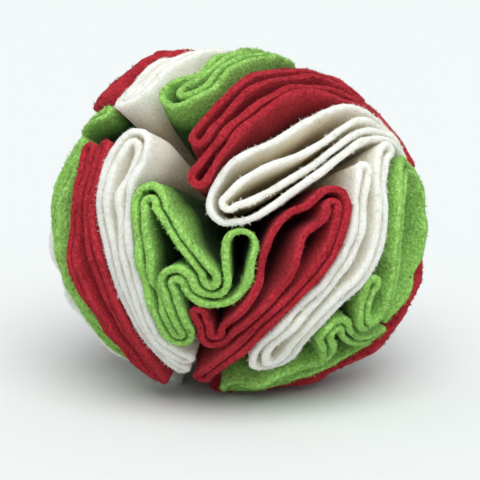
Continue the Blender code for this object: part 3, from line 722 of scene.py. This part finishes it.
def makeFluff(colour, hairs):
    points = np.concatenate(hairs)
    first = np.arange(len(points))[:, None] * 4
    corners = np.array([(0, 1, 3), (1, 2, 3), (2, 0, 3), (2, 1, 0)])
    faces = (first[:, :, None] + corners[None]).reshape(-1, 3)
    mesh = bpy.data.meshes.new(colour + "_fluff")
    mesh.from_pydata(points.reshape(-1, 3).tolist(), [], faces.tolist())
    return addObject(colour + "_fluff", mesh)


# The fleece is one material for each colour, and one more for its fluff.
# The tip colour is a painted sheen on the pile's highest tips, where the fuzz catches light.
fleeces = {
    # The deep colour is painted shade between the sheets. The face colour is the fleece's own, set a
    # little lighter than the cut edge as painted light.
    "red": {
        "edge": (0.36, 0.015, 0.026), "face": (0.45, 0.026, 0.038),
        "deepShade": (0.10, 0.003, 0.006), "deepShadeAt": 0.30,
        "tipSheen": (0.52, 0.06, 0.09), "mottle": 0.30,
        "sheen": (1.0, 0.50, 0.55), "sheenWeight": 0.06, "glow": 0.0,
    },
    "green": {
        "edge": (0.27, 0.53, 0.11), "face": (0.27, 0.55, 0.11),
        "deepShade": (0.008, 0.045, 0.005), "deepShadeAt": 0.25,
        "tipSheen": (0.60, 0.86, 0.36), "mottle": 0.36,
        "sheen": (0.85, 1.0, 0.60), "sheenWeight": 0.06, "glow": 0.0,
    },
    "white": {
        "edge": (0.86, 0.845, 0.75), "face": (0.91, 0.88, 0.755),
        "deepShade": (0.72, 0.60, 0.40), "deepShadeAt": 0.45,
        "tipSheen": (0.93, 0.92, 0.86), "mottle": 0.11,
        "sheen": (1.0, 1.0, 0.95), "sheenWeight": 0.06, "glow": 0.9,
    },
}

pile = {
    "tuft": {"scale": 780, "detail": 2, "roughness": 0.6},
    "grain": {"scale": 2300, "detail": 1, "roughness": 0.5},
    "patch": {"scale": 120, "detail": 2, "roughness": 0.5},
    "tuftShare": 0.75,         # of the pile's height, and grain makes the rest
    "heightShare": 0.7,        # of the mottling, and patches make the rest
    "contrast": 6.0,
    "tipSheenFrom": 0.52,          # height where the painted sheen on the pile's tips begins
    "tipSheenFull": 0.78,          # and where it is brightest
    "tipSheenMost": 0.8,
    "tipSheenEnd": 0.16,           # depth where the painted sheen gives way to shade, as a share of the ball's radius
    "faceAt": 0.014,           # depth where the face's colour takes over from the cut edge's
    "bump": 0.0012,            # height of the bump, in metres
    "roughness": 0.95,
    "specular": 0.15,
    "sheenRoughness": 0.55,
    "glowColour": (1.0, 0.9, 0.75),
    "glowDepth": 0.008,
}


# mottled colour and height of brushed pile, with a painted sheen on its highest tips, on the piece's own
# coordinates
def pileGroup():
    group = bpy.data.node_groups.new("brushedPile", "ShaderNodeTree")
    for name, kind, way in (
        ("Colour", "NodeSocketColor", "INPUT"), ("Tuft Scale", "NodeSocketFloat", "INPUT"),
        ("Grain Scale", "NodeSocketFloat", "INPUT"), ("Patch Scale", "NodeSocketFloat", "INPUT"),
        ("Mottle", "NodeSocketFloat", "INPUT"), ("Tip Sheen Colour", "NodeSocketColor", "INPUT"),
        ("Tip Sheen Share", "NodeSocketFloat", "INPUT"),
        ("Colour", "NodeSocketColor", "OUTPUT"), ("Height", "NodeSocketFloat", "OUTPUT"),
    ):
        group.interface.new_socket(name=name, in_out=way, socket_type=kind)
    nodes, links = group.nodes, group.links
    given, made = nodes.new("NodeGroupInput"), nodes.new("NodeGroupOutput")
    place = nodes.new("ShaderNodeTexCoord")

    def noiseOf(kind):
        texture = nodes.new("ShaderNodeTexNoise")
        texture.inputs["Detail"].default_value = pile[kind]["detail"]
        texture.inputs["Roughness"].default_value = pile[kind]["roughness"]
        links.new(place.outputs["Object"], texture.inputs["Vector"])
        links.new(given.outputs[kind.title() + " Scale"], texture.inputs["Scale"])
        return texture.outputs["Fac"]

    def maths(operation, first, second):
        node = nodes.new("ShaderNodeMath")
        node.operation = operation
        for socket, value in zip(node.inputs, (first, second)):
            if isinstance(value, (int, float)):
                socket.default_value = value
            else:
                links.new(value, socket)
        return node.outputs[0]

    def blend(first, second, firstShare):
        second = maths("MULTIPLY", second, 1 - firstShare)
        return maths("ADD", maths("MULTIPLY", first, firstShare), second)

    height = blend(noiseOf("tuft"), noiseOf("grain"), pile["tuftShare"])
    shade = blend(height, noiseOf("patch"), pile["heightShare"])
    shade = maths("MULTIPLY", maths("SUBTRACT", shade, 0.5), given.outputs["Mottle"])
    shade = maths("ADD", maths("MULTIPLY", shade, pile["contrast"]), 1.0)
    tint = nodes.new("ShaderNodeVectorMath")
    tint.operation = "SCALE"
    links.new(given.outputs["Colour"], tint.inputs[0])
    links.new(shade, tint.inputs["Scale"])
    # painted sheen: the highest pile takes the pale tip colour, as fuzz catching light
    sheenTips = nodes.new("ShaderNodeMapRange")
    sheenTips.inputs["From Min"].default_value = pile["tipSheenFrom"]
    sheenTips.inputs["From Max"].default_value = pile["tipSheenFull"]
    sheenTips.inputs["To Max"].default_value = pile["tipSheenMost"]
    links.new(height, sheenTips.inputs["Value"])
    paintedSheen = maths("MULTIPLY", sheenTips.outputs["Result"], given.outputs["Tip Sheen Share"])
    withPaintedSheen = nodes.new("ShaderNodeMix")
    withPaintedSheen.data_type = "RGBA"
    links.new(paintedSheen, withPaintedSheen.inputs["Factor"])
    links.new(tint.outputs[0], withPaintedSheen.inputs["A"])
    links.new(given.outputs["Tip Sheen Colour"], withPaintedSheen.inputs["B"])
    links.new(withPaintedSheen.outputs["Result"], made.inputs["Colour"])
    links.new(height, made.inputs["Height"])
    return group


# the cut edge's own colour, then the face's, its own colour lightened a little as painted light, then the
# painted shade between the sheets
def depthColour(nodes, links, depth, look):
    ramp = nodes.new("ShaderNodeValToRGB")
    ramp.color_ramp.elements[0].position = 0.0
    ramp.color_ramp.elements[0].color = (*look["edge"], 1)
    ramp.color_ramp.elements[1].position = look["deepShadeAt"]
    ramp.color_ramp.elements[1].color = (*look["deepShade"], 1)
    face = ramp.color_ramp.elements.new(pile["faceAt"])
    face.color = (*look["face"], 1)
    links.new(depth, ramp.inputs["Fac"])
    return ramp.outputs["Color"]


# Loose fleece is the fluff, which has no glow of its own. It has no depth either, so it
# takes the cut edge's colour, with no painted shade and the full painted sheen on its tips.
def fleece(colour, group, loose=False):
    look = fleeces[colour]
    material = bpy.data.materials.new(colour + ("Fluff" if loose else "Fleece"))
    material.use_nodes = True
    nodes, links = material.node_tree.nodes, material.node_tree.links
    shader = nodes["Principled BSDF"]
    for socket, value in (
        ("Roughness", pile["roughness"]), ("Specular IOR Level", pile["specular"]),
        ("Sheen Weight", look["sheenWeight"]), ("Sheen Roughness", pile["sheenRoughness"]),
        ("Sheen Tint", (*look["sheen"], 1)), ("Subsurface Weight", 0 if loose else look["glow"]),
        ("Subsurface Radius", pile["glowColour"]), ("Subsurface Scale", pile["glowDepth"]),
    ):
        shader.inputs[socket].default_value = value

    depth = nodes.new("ShaderNodeAttribute")
    depth.attribute_name = "depth"
    brushed = nodes.new("ShaderNodeGroup")
    brushed.node_tree = group
    for kind in ("tuft", "grain", "patch"):
        brushed.inputs[kind.title() + " Scale"].default_value = pile[kind]["scale"]
    brushed.inputs["Mottle"].default_value = look["mottle"]
    brushed.inputs["Tip Sheen Colour"].default_value = (*look["tipSheen"], 1)
    links.new(depthColour(nodes, links, depth.outputs["Fac"], look), brushed.inputs["Colour"])
    # the painted sheen on the tips fades out with depth, where shade falls
    shallow = nodes.new("ShaderNodeMapRange")
    shallow.inputs["From Max"].default_value = pile["tipSheenEnd"]
    shallow.inputs["To Min"].default_value = 1
    shallow.inputs["To Max"].default_value = 0
    links.new(depth.outputs["Fac"], shallow.inputs["Value"])
    links.new(shallow.outputs["Result"], brushed.inputs["Tip Sheen Share"])
    links.new(brushed.outputs["Colour"], shader.inputs["Base Color"])
    bump = nodes.new("ShaderNodeBump")
    bump.inputs["Distance"].default_value = pile["bump"]
    links.new(brushed.outputs["Height"], bump.inputs["Height"])
    links.new(bump.outputs["Normal"], shader.inputs["Normal"])
    return material


# The studio is a pale floor, a soft room and one broad sun.
studio = {
    "floorSize": 14.0,
    "floorColour": (0.720, 0.742, 0.730),
    "floorRoughness": 0.9,
    "floorSpecular": 0.1,
    "world": (0.93, 0.97, 1.0),
    "worldStrength": 0.62,
    "sunTurn": 8,              # degrees, from the front towards the right
    "sunLift": 58,
    "sunAngle": 56,            # how broad it is
    "sunStrength": 2.55,
    "cameraLift": 12,
    "cameraDistance": 0.70,
    "lens": 130.1,             # in millimetres, and so is the sensor
    "sensor": 36,
    "aimBelow": 0.0085,        # how far under the ball's middle the camera looks
}


def makeFloor():
    bm = bmesh.new()
    bmesh.ops.create_grid(bm, x_segments=1, y_segments=1, size=studio["floorSize"] / 2)
    mesh = bpy.data.meshes.new("studioFloor")
    bm.to_mesh(mesh)
    bm.free()
    floor = addObject("studioFloor", mesh)
    paper = bpy.data.materials.new("palePaper")
    paper.use_nodes = True
    shader = paper.node_tree.nodes["Principled BSDF"]
    shader.inputs["Base Color"].default_value = (*studio["floorColour"], 1)
    shader.inputs["Roughness"].default_value = studio["floorRoughness"]
    shader.inputs["Specular IOR Level"].default_value = studio["floorSpecular"]
    mesh.materials.append(paper)


def makeLight():
    world = bpy.data.worlds.new("softRoom")
    world.use_nodes = True
    background = world.node_tree.nodes["Background"]
    background.inputs["Color"].default_value = (*studio["world"], 1)
    background.inputs["Strength"].default_value = studio["worldStrength"]
    bpy.context.scene.world = world

    lamp = bpy.data.lights.new("softSun", "SUN")
    lamp.energy = studio["sunStrength"]
    lamp.angle = math.radians(studio["sunAngle"])
    sun = addObject("softSun", lamp)
    towards = Vector(direction(studio["sunTurn"], studio["sunLift"]))
    sun.rotation_euler = towards.to_track_quat("Z", "Y").to_euler()


def makeCamera():
    lens = bpy.data.cameras.new("camera")
    lens.lens = studio["lens"]
    lens.sensor_width = studio["sensor"]
    camera = addObject("camera", lens)
    away = Vector(direction(0, studio["cameraLift"]))
    camera.location = Vector(middle) + away * studio["cameraDistance"]
    aim = Vector(middle) - Vector((0, 0, studio["aimBelow"]))
    camera.rotation_euler = (camera.location - aim).to_track_quat("Z", "Y").to_euler()
    bpy.context.scene.camera = camera
    bpy.context.scene.view_settings.view_transform = "Standard"


makeFloor()
makeLight()
makeCamera()
print("studio ready")

edges = settledEdges()
print("cut edges settled")

pileNodes = pileGroup()
materials = {colour: fleece(colour, pileNodes) for colour in fleeces}
hairs = {colour: [] for colour in fleeces}
loops = np.array([loop for loop, rise in edges.values()])
for order, (name, (loop, rise)) in enumerate(edges.items()):
    colour = name.split("_")[0]
    openShare = slack["fullBulge" if name == slack["slackest"] else "bulge"]
    beside = [freeRoom(loops, order, side, openShare) for side in (-1, 1)]
    rooms = [finer(room) for room, swell in beside]
    swells = [finer(swell) for room, swell in beside]
    rings = discRings(loop, rise, swells, order)
    hairs[colour].append(fluffHairs(rings, np.random.default_rng(order)))
    disc = makeDisc(name, rings, rooms)
    disc.data.materials.append(materials[colour])
    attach(disc, "root")
    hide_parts(name)
print("discs made:", len(edges))

for colour in fleeces:
    piece = makeFluff(colour, hairs[colour])
    piece.data.materials.append(fleece(colour, pileNodes, loose=True))
    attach(piece, "root")
    print(colour, "fluff made:", fluff["perDisc"] * len(hairs[colour]), "hairs")
